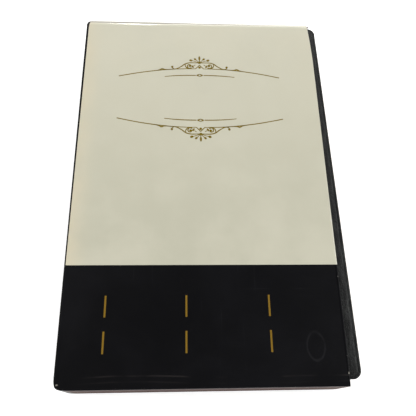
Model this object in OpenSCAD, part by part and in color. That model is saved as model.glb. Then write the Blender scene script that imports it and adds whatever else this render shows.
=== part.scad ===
// Boxed bible: a leather-look vinyl bible with thumb-indexed pages, in a rigid slipcase.
// The case lies on its back. Its head points along +Y, its mouth along +X and its printed
// front along +Z. The origin is at the centre of the case's back face.
// The bible slides in and out along X, and stands in the case with a slight lean.

/* [Pages] */
// Height of a page, from tail to head
page_h = 214.5; // [160:0.5:260]
// Width of the page block, from its spine glue to the corners of its fore edge
page_w = 140.1; // [100:0.1:190]
// Thickness of all the pages together
block_t = 23.1; // [14:0.1:40]
// How many groups of sections the pages are shown as
section_count = 12; // [6:1:14]
// Radius of the two outer page corners
page_corner_r = 6; // [2:0.5:10]
// Radius of the hollow curve down the fore edge
fore_edge_r = 26; // [22:0.5:60]
// Thickness of an endpaper
endpaper_t = 0.2; // [0.1:0.05:0.5]

/* [Thumb index] */
// Radius of a thumb cut
thumb_r = 6.2; // [4:0.1:6.5]
// Distance from the page ends to the first and last thumb cut
thumb_margin = 16; // [14:0.5:24]
// Width of bare paper between a thumb label and the rim of its cut
label_rim = 0.9; // [0.4:0.1:2]
// Thickness of a thumb label
label_t = 0.1; // [0.1:0.05:0.3]

/* [Spine] */
// How far the spine bulges past the cover hinges
spine_round = 4; // [2.5:0.1:6]
// Thickness of the card strip in the spine
spine_strip_t = 0.6; // [0.3:0.1:1.2]
// Hollow between the card strip and the lined back of the pages
spine_hollow = 0.3; // [0.2:0.05:1]
// Thickness of the paper liner on the back of the pages
spine_liner_t = 0.2; // [0.1:0.05:0.5]
// Thickness of the gauze under the liner
mull_t = 0.3; // [0.2:0.05:0.6]
// Thickness of the glue film, and of the threads in it
glue_t = 0.3; // [0.2:0.05:0.6]
// How many stations the sections are sewn at
sewing_count = 6; // [4:1:8]
// Width of the thread at one station
thread_w = 0.6; // [0.4:0.1:1]
// Distance from the page ends to the first and last sewing station
sewing_margin = 14; // [10:1:25]
// Distance from the page ends to the ends of the gauze
mull_margin = 8; // [4:1:20]
// Radius of a head or tail band
band_r = 0.9; // [0.6:0.1:1.2]

/* [Cover] */
// How far the cover stands out past the pages at head and tail
end_square = 3.25; // [2:0.05:5]
// How far the cover stands out past the pages at the fore edge
fore_square = 4.7; // [3:0.1:6]
// Thickness of the outer vinyl
vinyl_t = 0.5; // [0.3:0.05:1]
// Thickness of the card inside a cover
card_t = 1.1; // [0.6:0.1:2.5]
// Thickness of the inner vinyl
liner_t = 0.3; // [0.2:0.05:0.8]
// Width of the welded rim round each cover
weld_w = 2; // [1.2:0.1:3]
// Radius of the outer cover corners
cover_corner_r = 4.5; // [3:0.1:8]

/* [Ribbon] */
// Width of the ribbon marker
ribbon_w = 6; // [4:0.5:10]
// Thickness of the ribbon marker
ribbon_t = 0.25; // [0.15:0.05:0.4]
// Distance from the hinge to the ribbon at the head
ribbon_head_x = 14; // [10:1:30]
// Distance from the hinge to the ribbon at the tail
ribbon_tail_x = 84; // [40:1:90]
// How far the ribbon's end hangs out at the tail
ribbon_out = 2.6; // [1:0.1:3]
// The ribbon lies on top of this section
ribbon_section = 6; // [1:1:6]

/* [Case] */
// Thickness of the case's board
board_t = 1; // [0.8:0.1:3]
// Thickness of the printed paper outside
wrap_t = 0.15; // [0.1:0.05:0.3]
// Thickness of the paper inside
lining_t = 0.15; // [0.1:0.05:0.3]
// Radius of the upright corner between the closed side and the head
head_corner_r = 3; // [1:0.5:3]
// Radius of the upright corner between the closed side and the tail
tail_corner_r = 1.5; // [1:0.5:3]
// How far the front and back paper is turned over the head and tail ends
end_turn = 1.5; // [1:0.5:8]
// How far the closed side's paper is turned over the head and tail ends
side_turn = 5.5; // [3.5:0.5:8]
// How far the printed paper is turned in at the mouth
mouth_turn = 12; // [8:1:20]

/* [Fit] */
// Angle that the bible leans at in the case
lean = 0.7; // [0:0.1:1]
// Gap between the bible and the case's front and back
face_gap = 0.3; // [0.2:0.05:1]
// Gap between the bible's nearest corners and the head and tail ends
end_gap = 0.3; // [0.2:0.05:1]
// Gap between the spine and the closed side
spine_gap = 0.3; // [0.2:0.05:1]
// How far the cover's tail corner stands out of the mouth
stand_out = 6.3; // [3:0.1:12]

/* [Hidden] */
$fn = 96;
past = 5;               // how far a cutting solid runs past what it cuts

// Bible: x from the spine to the fore edge, y from tail to head, z = 0 at mid thickness
cover_t = vinyl_t + card_t + liner_t;
inside_t = block_t + 2 * endpaper_t;
bible_t = inside_t + 2 * cover_t;
spine_r = (pow(bible_t / 2, 2) + pow(spine_round, 2)) / (2 * spine_round);
hinge_x = spine_round;
strip_r = spine_r - vinyl_t;
liner_r = strip_r - spine_strip_t - spine_hollow;
mull_r = liner_r - spine_liner_t;
glue_r = mull_r - mull_t;
back_r = glue_r - glue_t;
back_x = spine_r - back_r;
fore_x = back_x + page_w;
cover_w = fore_x + fore_square;
cover_h = page_h + 2 * end_square;
page_y = end_square;
back_corner_x = spine_r - sqrt(pow(back_r, 2) - pow(block_t / 2, 2));
fore_arc_x = fore_x + sqrt(pow(fore_edge_r, 2) - pow(block_t / 2, 2));
section_t = block_t / section_count;
thumb_pitch = (page_h - 2 * thumb_margin) / (section_count - 1);
sewing_pitch = (page_h - 2 * sewing_margin) / (sewing_count - 1);
ribbon_lean = atan((ribbon_tail_x - ribbon_head_x) / page_h);

// Case: x from the closed side to the mouth, y from tail to head, z up from its back
wall = wrap_t + board_t + lining_t;
bible_x = wall + spine_gap + cover_h * sin(lean);
bible_y = wall + end_gap;
bible_z = wall + face_gap + bible_t / 2;
case_w = bible_x + cover_w * cos(lean) - stand_out;
case_h = 2 * (wall + end_gap) + cover_h * cos(lean) + cover_w * sin(lean);
case_t = 2 * (wall + face_gap) + bible_t;
board_in = wrap_t + board_t;            // depth of the boards' inner faces

function two_digits(n) = n < 10 ? str("0", n) : str(n);
function section_name(i) = str("pages_", two_digits(i));
function section_z(i) = -block_t / 2 + (i - 1) * section_t;
function thumb_y(i) = page_y + thumb_margin + (i - 1) * thumb_pitch;

// ---- Placing ----
module in_case() {
    translate([-case_w / 2, -case_h / 2, 0]) children();
}

module in_bible() {
    in_case() translate([bible_x, bible_y, bible_z]) rotate([0, 0, lean]) children();
}

// A box between two corners
module block(low, high) {
    translate(low) cube(high - low);
}

// Turns a shape drawn in x and z into a bar that runs from one y to another
module along_y(from, to) {
    translate([0, to, 0]) rotate([90, 0, 0]) linear_extrude(to - from) children();
}

// ---- Case ----
// The case's outline from above, with round corners at the closed side only
module case_outline(inset) {
    head_r = head_corner_r - min(inset, head_corner_r - 0.1);
    tail_r = tail_corner_r - min(inset, tail_corner_r - 0.1);
    head_y = case_h - inset - head_r;
    tail_y = inset + tail_r;
    translate([inset, tail_y]) square([case_w - inset, head_y - tail_y]);
    translate([inset + tail_r, inset]) square([case_w - inset - tail_r, tail_r + 1]);
    translate([inset + head_r, head_y - 1]) square([case_w - inset - head_r, head_r + 1]);
    translate([inset + tail_r, tail_y]) circle(tail_r);
    translate([inset + head_r, head_y]) circle(head_r);
}

// A slice of the case's full outline
module case_slice(inset, low, high) {
    translate([0, 0, low]) linear_extrude(high - low) case_outline(inset);
}

// A band of paper round the upright sides of the case
module wrap_band(low, high) {
    difference() {
        case_slice(0, low, high);
        case_slice(wrap_t, low - past, high + past);
    }
}

module wrap_front() {
    color("ivory") in_case() case_slice(0, case_t - wrap_t, case_t);
}

module wrap_back() {
    color("#161618") in_case() case_slice(0, 0, wrap_t);
}

module wrap_side() {
    color("#161618") in_case() intersection() {
        wrap_band(wrap_t, case_t - wrap_t);
        block([-past, -past, 0], [side_turn, case_h + past, case_t]);
    }
}

// The two strips that are turned over one end from the front and the back
module end_turns(y) {
    color("#161618") in_case() intersection() {
        wrap_band(wrap_t, case_t - wrap_t);
        for (z = [wrap_t, case_t - wrap_t - end_turn])
            block([side_turn, y - past, z], [case_w, y + past, z + end_turn]);
    }
}

module wrap_head_turns() { end_turns(case_h); }
module wrap_tail_turns() { end_turns(0); }

module end_paper(y) {
    color("#6a5c58") in_case() block(
        [side_turn, y, wrap_t + end_turn],
        [case_w, y + wrap_t, case_t - wrap_t - end_turn]);
}

module end_paper_head() { end_paper(case_h - wrap_t); }
module end_paper_tail() { end_paper(0); }

// The paper over the boards' edges at the mouth, and the part of it that is turned inside
module wrap_mouth_turn() {
    color("#161618") in_case() difference() {
        union() {
            block([case_w - wrap_t, wrap_t, wrap_t], [case_w, case_h - wrap_t, case_t - wrap_t]);
            block([case_w - mouth_turn, board_in, board_in], [case_w, case_h - board_in, case_t - board_in]);
        }
        block([0, wall, wall], [case_w + past, case_h - wall, case_t - wall]);
    }
}

module board_front() {
    color("darkgray") in_case() intersection() {
        case_slice(wrap_t, case_t - board_in, case_t - wrap_t);
        block([0, 0, 0], [case_w - wrap_t, case_h, case_t]);
    }
}

module board_back() {
    color("darkgray") in_case() intersection() {
        case_slice(wrap_t, wrap_t, board_in);
        block([0, 0, 0], [case_w - wrap_t, case_h, case_t]);
    }
}

module board_side() {
    color("darkgray") in_case() intersection() {
        case_slice(wrap_t, board_in, case_t - board_in);
        block([0, 0, 0], [board_in, case_h, case_t]);
    }
}

// One end board, between the side board and the mouth
module end_board(y) {
    color("darkgray") in_case() intersection() {
        case_slice(wrap_t, board_in, case_t - board_in);
        block([board_in, y, 0], [case_w - wrap_t, y + board_t, case_t]);
    }
}

module board_head() { end_board(case_h - board_in); }
module board_tail() { end_board(wrap_t); }

module flat_lining(z) {
    color("whitesmoke") in_case() block(
        [board_in, board_in, z], [case_w - mouth_turn, case_h - board_in, z + lining_t]);
}

module lining_front() { flat_lining(case_t - wall); }
module lining_back() { flat_lining(board_in); }

module lining_side() {
    color("whitesmoke") in_case() block(
        [board_in, board_in, wall], [wall, case_h - board_in, case_t - wall]);
}

module end_lining(y) {
    color("whitesmoke") in_case() block(
        [wall, y, wall], [case_w - mouth_turn, y + lining_t, case_t - wall]);
}

module lining_head() { end_lining(case_h - wall); }
module lining_tail() { end_lining(board_in); }

// ---- Cover ----
// A leaf from above: square at the hinge, with round corners at the fore edge
module leaf_outline(left, right, low, high, r) {
    translate([left, low]) square([right - r - left, high - low]);
    translate([left, low + r]) square([right - left, high - low - 2 * r]);
    for (y = [low + r, high - r]) translate([right - r, y]) circle(r);
}

module cover_outline(inset) {
    leaf_outline(hinge_x + inset, cover_w - inset, inset, cover_h - inset, cover_corner_r - inset);
}

// One sheet of a cover, at a distance from the bible's middle; side is 1 in front, -1 behind
module cover_sheet(side, inset, low, high) {
    mirror([0, 0, side > 0 ? 0 : 1])
        translate([0, 0, low]) linear_extrude(high - low) cover_outline(inset);
}

module cover_vinyl(side) {
    color("#2e2e30") in_bible() cover_sheet(side, 0, bible_t / 2 - vinyl_t, bible_t / 2);
}

module cover_card(side) {
    color("tan") in_bible() cover_sheet(side, weld_w, inside_t / 2 + liner_t, bible_t / 2 - vinyl_t);
}

// The inner vinyl, with the raised rim that is welded to the outer vinyl round the card
module cover_liner(side) {
    color("#1c1c1e") in_bible() difference() {
        cover_sheet(side, 0, inside_t / 2, bible_t / 2 - vinyl_t);
        cover_sheet(side, weld_w, inside_t / 2 + liner_t, bible_t / 2);
    }
}

module cover_front_vinyl() { cover_vinyl(1); }
module cover_front_card() { cover_card(1); }
module cover_front_liner() { cover_liner(1); }
module cover_back_vinyl() { cover_vinyl(-1); }
module cover_back_card() { cover_card(-1); }
module cover_back_liner() { cover_liner(-1); }

// ---- Spine ----
// A curved layer on the spine's arc, from one end to the other and this thick across the book
module spine_layer(outer_r, thickness, from, to, height) {
    intersection() {
        along_y(from, to) translate([spine_r, 0]) difference() {
            circle(outer_r);
            circle(outer_r - thickness);
        }
        block([-past, from - past, -height / 2], [back_corner_x, to + past, height / 2]);
    }
}

module spine_vinyl() {
    color("#2e2e30") in_bible() intersection() {
        spine_layer(spine_r, vinyl_t, 0, cover_h, bible_t);
        block([-past, 0, -bible_t], [hinge_x, cover_h, bible_t]);
    }
}

module spine_strip() {
    color("tan") in_bible() intersection() {
        spine_layer(strip_r, spine_strip_t, weld_w, cover_h - weld_w, inside_t);
        block([-past, 0, -bible_t], [hinge_x, cover_h, bible_t]);
    }
}

module spine_liner() {
    color("linen") in_bible() spine_layer(liner_r, spine_liner_t, page_y, page_y + page_h, block_t);
}

module spine_mull() {
    color("wheat") in_bible()
        spine_layer(mull_r, mull_t, page_y + mull_margin, page_y + page_h - mull_margin, block_t);
}

// The places along the back where the thread lies
module at_sewing_stations() {
    for (i = [0:sewing_count - 1])
        translate([0, page_y + sewing_margin + i * sewing_pitch, 0]) children();
}

module spine_glue() {
    color("khaki") in_bible() difference() {
        spine_layer(glue_r, glue_t, page_y, page_y + page_h, block_t);
        at_sewing_stations()
            block([-past, -thread_w / 2, -block_t], [back_corner_x + past, thread_w / 2, block_t]);
    }
}

module sewing_threads() {
    color("white") in_bible() at_sewing_stations()
        spine_layer(glue_r, glue_t, -thread_w / 2, thread_w / 2, block_t);
}

// A band with a half-round top, on one end of the pages' back; up is 1 at the head, -1 at the tail
module end_band(y, up) {
    color("goldenrod") in_bible() translate([spine_r, y, 0]) intersection() {
        rotate([-90, 0, 0]) rotate_extrude() translate([back_r - band_r, 0]) intersection() {
            circle(band_r);
            translate([-past, up > 0 ? 0 : -past]) square([2 * past, past]);
        }
        block([-spine_r, -past, -block_t / 2], [back_corner_x - spine_r, past, block_t / 2]);
    }
}

module head_band() { end_band(page_y + page_h, 1); }
module tail_band() { end_band(page_y, -1); }

// ---- Pages ----
// The page block seen from the tail: a round back and a hollow fore edge
module block_profile() {
    difference() {
        union() {
            intersection() {
                translate([spine_r, 0]) circle(back_r);
                translate([0, -block_t / 2]) square([spine_r, block_t]);
            }
            translate([spine_r, -block_t / 2]) square([fore_x - spine_r, block_t]);
        }
        translate([fore_arc_x, 0]) circle(fore_edge_r);
    }
}

module page_block(low, high) {
    intersection() {
        along_y(page_y, page_y + page_h) block_profile();
        translate([0, 0, low]) linear_extrude(high - low)
            leaf_outline(0, fore_x, page_y, page_y + page_h, page_corner_r);
    }
}

module ribbon() {
    translate([hinge_x + ribbon_head_x, page_y + page_h, section_z(ribbon_section + 1)])
        rotate([0, 0, ribbon_lean])
        block([0, -(page_h + ribbon_out) / cos(ribbon_lean), 0], [ribbon_w, past, ribbon_t]);
}

// One group of sections, with its thumb cut and its share of the ribbon's place
module section(i) {
    color("gold") in_bible() difference() {
        page_block(section_z(i), section_z(i) + section_t);
        if (i > 1)
            translate([fore_x, thumb_y(i), section_z(i) - past]) cylinder(r = thumb_r, h = 2 * past);
        if (i == ribbon_section + 1) ribbon();
    }
}

// A blank label on the page under each thumb cut
module thumb_labels() {
    color("black") in_bible() for (i = [2:section_count]) intersection() {
        page_block(section_z(i) - section_t, section_z(i) + section_t);
        translate([fore_x, thumb_y(i), section_z(i)]) cylinder(r = thumb_r - label_rim, h = label_t);
    }
}

module ribbon_marker() {
    color("crimson") in_bible() intersection() {
        ribbon();
        block([0, page_y - ribbon_out, -block_t], [fore_x, page_y + page_h, block_t]);
    }
}

module endpaper(low) {
    color("antiquewhite") in_bible() translate([0, 0, low]) linear_extrude(endpaper_t)
        leaf_outline(back_corner_x, fore_x, page_y, page_y + page_h, page_corner_r);
}

module endpaper_front() { endpaper(block_t / 2); }
module endpaper_back() { endpaper(-block_t / 2 - endpaper_t); }

// ---- Parts ----
wrap_front();
wrap_side();
wrap_back();
wrap_head_turns();
wrap_tail_turns();
wrap_mouth_turn();
end_paper_head();
end_paper_tail();
board_front();
board_side();
board_back();
board_head();
board_tail();
lining_front();
lining_side();
lining_back();
lining_head();
lining_tail();
cover_front_vinyl();
cover_front_card();
cover_front_liner();
cover_back_vinyl();
cover_back_card();
cover_back_liner();
spine_vinyl();
spine_strip();
spine_liner();
spine_mull();
spine_glue();
sewing_threads();
head_band();
tail_band();
endpaper_front();
endpaper_back();
ribbon_marker();
thumb_labels();
for (i = [1:section_count])
    section(i);
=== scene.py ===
import math
import random

import bmesh
import bpy
from mathutils import Matrix, Vector, noise


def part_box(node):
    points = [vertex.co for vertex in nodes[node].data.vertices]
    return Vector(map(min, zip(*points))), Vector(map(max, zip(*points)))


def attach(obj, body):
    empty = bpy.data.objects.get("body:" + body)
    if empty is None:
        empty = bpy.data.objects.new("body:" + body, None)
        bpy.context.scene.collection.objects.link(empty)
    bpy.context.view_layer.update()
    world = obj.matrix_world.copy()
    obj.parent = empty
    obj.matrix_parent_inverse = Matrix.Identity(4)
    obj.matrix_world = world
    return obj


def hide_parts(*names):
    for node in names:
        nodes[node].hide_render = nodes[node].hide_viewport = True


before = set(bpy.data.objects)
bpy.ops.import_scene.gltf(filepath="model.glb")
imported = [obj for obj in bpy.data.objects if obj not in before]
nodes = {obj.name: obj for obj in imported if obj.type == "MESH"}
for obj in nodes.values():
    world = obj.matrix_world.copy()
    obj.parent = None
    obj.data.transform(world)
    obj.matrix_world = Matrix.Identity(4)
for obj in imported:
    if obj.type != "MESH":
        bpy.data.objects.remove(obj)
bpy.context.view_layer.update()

mm = 0.001
scene = bpy.context.scene


# ---------- camera, lights and ground

cameraSetup = {
    "place": (-11.57, -125.36, 287.64),  # mm
    "turn": (22.57, -2.906, -1.018),    # degrees
    "lens": 43.5,
    "sensor": 36.0,
}


def makeCamera(setup):
    data = bpy.data.cameras.new("viewCamera")
    data.lens = setup["lens"]
    data.sensor_width = setup["sensor"]
    data.clip_start = 0.01
    data.clip_end = 20.0
    camera = bpy.data.objects.new("viewCamera", data)
    camera.location = [value * mm for value in setup["place"]]
    camera.rotation_euler = [math.radians(value) for value in setup["turn"]]
    scene.collection.objects.link(camera)
    scene.camera = camera


lampSetup = {
    "closedSide": {"place": (-1.5, 0.25, 1.05), "size": 1.2, "power": 23.6, "tint": (1.0, 0.985, 0.955)},
    "mouthSide": {"place": (1.5, 0.05, 1.05), "size": 1.2, "power": 20.0, "tint": (0.99, 0.995, 1.0)},
    "tailSide": {"place": (0.1, -1.45, 0.85), "size": 1.0, "power": 9.7, "tint": (1.0, 1.0, 1.0)},
    "headSide": {"place": (0.35, 1.6, 0.5), "size": 0.8, "power": 10.5, "tint": (1.0, 0.99, 0.97)},
    "glint": {"place": (-0.18, 1.45, 0.92), "size": 0.14, "power": 3.0, "tint": (1.0, 1.0, 1.0)},
}


def makeLamps(setup):
    for name, lamp in setup.items():
        data = bpy.data.lights.new(name, "AREA")
        data.shape = "SQUARE"
        data.size = lamp["size"]
        data.energy = lamp["power"]
        data.color = lamp["tint"]
        item = bpy.data.objects.new(name, data)
        item.location = lamp["place"]
        item.rotation_euler = (-Vector(lamp["place"])).to_track_quat("-Z", "Y").to_euler()
        scene.collection.objects.link(item)


groundSetup = {
    "reach": 2.6,            # metres from the middle to the wall
    "wallHeight": 1.0,
    "floorColor": (0.80, 0.80, 0.80, 1.0),
    "cameraLift": 0.6,      # extra white on the floor, seen by the camera and in gloss
    "wallWhite": 1.0,
    "skyStrength": 0.09,
    "skyColor": (0.97, 0.98, 1.0, 1.0),
}


def seenDirectly(tree):
    # 1 for camera, glossy and transmission rays
    path = tree.nodes.new("ShaderNodeLightPath")
    first = tree.nodes.new("ShaderNodeMath")
    first.operation = "MAXIMUM"
    second = tree.nodes.new("ShaderNodeMath")
    second.operation = "MAXIMUM"
    tree.links.new(path.outputs["Is Camera Ray"], first.inputs[0])
    tree.links.new(path.outputs["Is Glossy Ray"], first.inputs[1])
    tree.links.new(first.outputs[0], second.inputs[0])
    tree.links.new(path.outputs["Is Transmission Ray"], second.inputs[1])
    return second.outputs[0]


def makeStageMaterial(name, color, lift):
    material = bpy.data.materials.new(name)
    material.use_nodes = True
    tree = material.node_tree
    tree.nodes.clear()
    out = tree.nodes.new("ShaderNodeOutputMaterial")
    add = tree.nodes.new("ShaderNodeAddShader")
    paint = tree.nodes.new("ShaderNodeBsdfDiffuse")
    paint.inputs["Color"].default_value = color
    glow = tree.nodes.new("ShaderNodeEmission")
    scaled = tree.nodes.new("ShaderNodeMath")
    scaled.operation = "MULTIPLY"
    scaled.inputs[1].default_value = lift
    tree.links.new(seenDirectly(tree), scaled.inputs[0])
    tree.links.new(scaled.outputs[0], glow.inputs["Strength"])
    tree.links.new(paint.outputs[0], add.inputs[0])
    tree.links.new(glow.outputs[0], add.inputs[1])
    tree.links.new(add.outputs[0], out.inputs["Surface"])
    return material


def makeGround(setup):
    reach, height = setup["reach"], setup["wallHeight"]
    floorMesh = bpy.data.meshes.new("floor")
    corners = [(-reach, -reach, 0), (reach, -reach, 0), (reach, reach, 0), (-reach, reach, 0)]
    floorMesh.from_pydata(corners, [], [(0, 1, 2, 3)])
    floor = bpy.data.objects.new("floor", floorMesh)
    wallMesh = bpy.data.meshes.new("backdrop")
    sides = 48
    ring = [2 * math.pi * k / sides for k in range(sides)]
    points = [(reach * 0.98 * math.cos(a), reach * 0.98 * math.sin(a), z) for z in (0, height) for a in ring]
    faces = [(k, k + sides, (k + 1) % sides + sides, (k + 1) % sides) for k in range(sides)]
    wallMesh.from_pydata(points, [], faces)
    wall = bpy.data.objects.new("backdrop", wallMesh)
    for item in (floor, wall):
        scene.collection.objects.link(item)
    floorMesh.materials.append(makeStageMaterial("floorPaint", setup["floorColor"], setup["cameraLift"]))
    wallMesh.materials.append(makeStageMaterial("wallPaint", setup["floorColor"], setup["wallWhite"]))
    world = bpy.data.worlds.new("sky")
    world.use_nodes = True
    sky = world.node_tree.nodes["Background"]
    sky.inputs["Color"].default_value = setup["skyColor"]
    sky.inputs["Strength"].default_value = setup["skyStrength"]
    scene.world = world


makeCamera(cameraSetup)
makeLamps(lampSetup)
makeGround(groundSetup)
scene.view_settings.view_transform = "Standard"
print("stage ready")


# ---------- node helpers

class Shader:
    # A short way to lay out one material's nodes
    def __init__(self, name, base, **constants):
        self.material = bpy.data.materials.new(name)
        self.material.use_nodes = True
        self.tree = self.material.node_tree
        self.surface = self.tree.nodes["Principled BSDF"]
        self.surface.inputs["Base Color"].default_value = (*base, 1.0)
        for socket, value in constants.items():
            self.surface.inputs[socket.replace("_", " ")].default_value = value
        self.place = self.tree.nodes.new("ShaderNodeTexCoord").outputs["Object"]

    def node(self, kind, **inputs):
        made = self.tree.nodes.new("ShaderNode" + kind)
        for socket, value in inputs.items():
            self.feed(made.inputs[socket.replace("_", " ")], value)
        return made

    def feed(self, socket, value):
        if isinstance(value, bpy.types.NodeSocket):
            self.tree.links.new(value, socket)
        else:
            socket.default_value = value

    def math(self, operation, first, second=0.0, third=0.0, clamp=False):
        made = self.tree.nodes.new("ShaderNodeMath")
        made.operation = operation
        made.use_clamp = clamp
        for socket, value in zip(made.inputs, (first, second, third)):
            self.feed(socket, value)
        return made.outputs[0]

    def mapped(self, scale=(1, 1, 1), turn=(0, 0, 0), shift=(0, 0, 0)):
        made = self.node("Mapping", Vector=self.place)
        made.inputs["Scale"].default_value = scale
        made.inputs["Rotation"].default_value = [math.radians(value) for value in turn]
        made.inputs["Location"].default_value = shift
        return made.outputs[0]

    def noise(self, scale, detail=3.0, rough=0.5, where=None, distortion=0.0):
        made = self.node("TexNoise", Vector=where or self.place, Scale=scale, Detail=detail)
        made.inputs["Roughness"].default_value = rough
        made.inputs["Distortion"].default_value = distortion
        return made.outputs["Fac"]

    def cells(self, scale, feature="F1", where=None):
        made = self.node("TexVoronoi", Vector=where or self.place, Scale=scale)
        made.feature = feature
        return made.outputs["Distance"]

    def ramp(self, value, low, high, floor=0.0, ceiling=1.0):
        made = self.tree.nodes.new("ShaderNodeMapRange")
        made.interpolation_type = "SMOOTHSTEP"
        for socket, given in zip(("Value", "From Min", "From Max", "To Min", "To Max"),
                                 (value, low, high, floor, ceiling)):
            self.feed(made.inputs[socket], given)
        return made.outputs["Result"]

    def axes(self):
        split = self.node("SeparateXYZ", Vector=self.place)
        return split.outputs["X"], split.outputs["Y"], split.outputs["Z"]

    def blend(self, amount, first, second):
        made = self.tree.nodes.new("ShaderNodeMix")
        made.data_type = "RGBA"
        self.feed(made.inputs[0], amount)
        for socket, color in ((made.inputs[6], first), (made.inputs[7], second)):
            self.feed(socket, color if isinstance(color, bpy.types.NodeSocket) else (*color, 1.0))
        return made.outputs[2]

    def color(self, socket):
        self.feed(self.surface.inputs["Base Color"], socket)

    def rough(self, socket):
        self.feed(self.surface.inputs["Roughness"], socket)

    def bump(self, height, distance, strength=1.0, target="Normal"):
        made = self.node("Bump", Height=height, Distance=distance, Strength=strength)
        self.tree.links.new(made.outputs[0], self.surface.inputs[target])


def around(shader, x, y, center, radii):
    # Distance from a point, counted in radii
    dx = shader.math("DIVIDE", shader.math("SUBTRACT", x, center[0]), radii[0])
    dy = shader.math("DIVIDE", shader.math("SUBTRACT", y, center[1]), radii[1])
    squares = shader.math("ADD", shader.math("MULTIPLY", dx, dx), shader.math("MULTIPLY", dy, dy))
    return shader.math("SQRT", squares)


# ---------- sizes shared by the pieces, from the frame

wrapLow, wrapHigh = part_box("wrap_back")[0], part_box("wrap_front")[1]
caseSize = wrapHigh - wrapLow
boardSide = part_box("board_side")
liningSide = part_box("lining_side")
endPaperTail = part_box("end_paper_tail")
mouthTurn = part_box("wrap_mouth_turn")
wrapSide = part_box("wrap_side")
frontPanel = {
    "bandTop": 61.8 * mm,               # height of the black band, from the tail
    "stripHead": 1.5 * mm,              # width of the black strip at the closed side, at the head
    "stripTail": 0.6 * mm,
    "headBow": 1.45 * mm,               # how far the mouth edge falls back at its head corner
    "tailBow": 0.5 * mm,
}
caseShape = {
    "wall": liningSide[1].x - wrapLow.x,
    "paper": boardSide[0].x - wrapLow.x,
    "endTurn": endPaperTail[0].z - wrapLow.z,
    "sideTurn": wrapSide[1].x - wrapLow.x,
    "mouthTurn": mouthTurn[1].x - mouthTurn[0].x,
    "edgeRadius": 0.38 * mm,
    "headCorner": 3.2 * mm,
    "tailCorner": 1.5 * mm,
    "sag": 0.07 * mm,                   # how far the front panel dips between its edges
    "foil": 0.03 * mm,                  # room left above the paper for the printed foil
    "headRoll": 0.85 * mm,              # how far the head edge rolls down
    "rollReach": 3.6 * mm,
}


# ---------- materials of the case

def edgeWearAndHighlight(shader, x, y, z, width, seed):
    # Rubbed paper along the case's outer edges, 0 to 1; on the cream print it also paints a highlight along
    # those edges
    halfX, halfY = caseSize.x / 2, caseSize.y / 2
    sideX = shader.math("SUBTRACT", halfX, shader.math("ABSOLUTE", x))
    sideY = shader.math("SUBTRACT", halfY, shader.math("ABSOLUTE", y))
    topZ = shader.math("SUBTRACT", caseSize.z, z)
    nearX = shader.math("LESS_THAN", sideX, width)
    nearY = shader.math("LESS_THAN", sideY, width)
    nearZ = shader.math("LESS_THAN", topZ, width)
    edges = shader.math("ADD", shader.math("ADD", nearX, nearY), nearZ)
    onEdge = shader.math("GREATER_THAN", edges, 1.5)
    patches = shader.ramp(shader.noise(300, 4, 0.6, shader.mapped(shift=(seed, 0, 0))), 0.66, 0.72)
    return shader.math("MULTIPLY", onEdge, patches)


def makeCreamPrint():
    shader = Shader("creamPrint", (0.64, 0.62, 0.50), Roughness=0.34, Coat_Weight=0.55, Coat_Roughness=0.09)
    x, y, z = shader.axes()
    # painted light: the cream is painted lighter towards the head and darker towards the tail
    headwardLight = shader.ramp(y, -caseSize.y / 4, caseSize.y / 2)
    body = shader.blend(headwardLight, (0.533, 0.522, 0.412), (0.626, 0.603, 0.480))
    cloudy = shader.ramp(shader.noise(22, 4, 0.6), 0.35, 0.7)
    body = shader.blend(cloudy, body, (0.597, 0.580, 0.464))
    # a warmer, lighter tone towards the closed side, in patches
    warmTowardsClosedSide = shader.ramp(x, -caseSize.x / 2 + 14 * mm, -caseSize.x / 2)
    warmTowardsClosedSide = shader.math("MULTIPLY", warmTowardsClosedSide, shader.ramp(shader.noise(60, 3), 0.3, 0.7, 0.35, 0.8))
    body = shader.blend(warmTowardsClosedSide, body, (0.67, 0.605, 0.445))
    fibre = shader.noise(1600, 4, 0.65, shader.mapped(scale=(1, 0.35, 1), turn=(0, 0, 20)))
    body = shader.blend(shader.ramp(fibre, 0.25, 0.85, 0, 0.05), body, (0.45, 0.43, 0.34))
    smudge = shader.ramp(shader.noise(48, 6, 0.7, distortion=0.8), 0.60, 0.78, 0, 0.10)
    body = shader.blend(smudge, body, (0.42, 0.41, 0.36))
    # the edges are lightened: rubbed paper, and on the cream also a painted highlight
    shader.color(shader.blend(edgeWearAndHighlight(shader, x, y, z, 0.8 * mm, 3.0), body, (0.80, 0.79, 0.74)))
    shader.rough(shader.ramp(shader.noise(90, 4), 0.3, 0.7, 0.30, 0.42))
    shader.bump(fibre, 0.004 * mm, 0.4)
    film = shader.math("ADD", shader.noise(26, 2, 0.4), shader.math("MULTIPLY", shader.noise(420, 2), 0.05))
    shader.bump(film, 0.5 * mm, 0.35, target="Coat Normal")
    return shader.material


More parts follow.
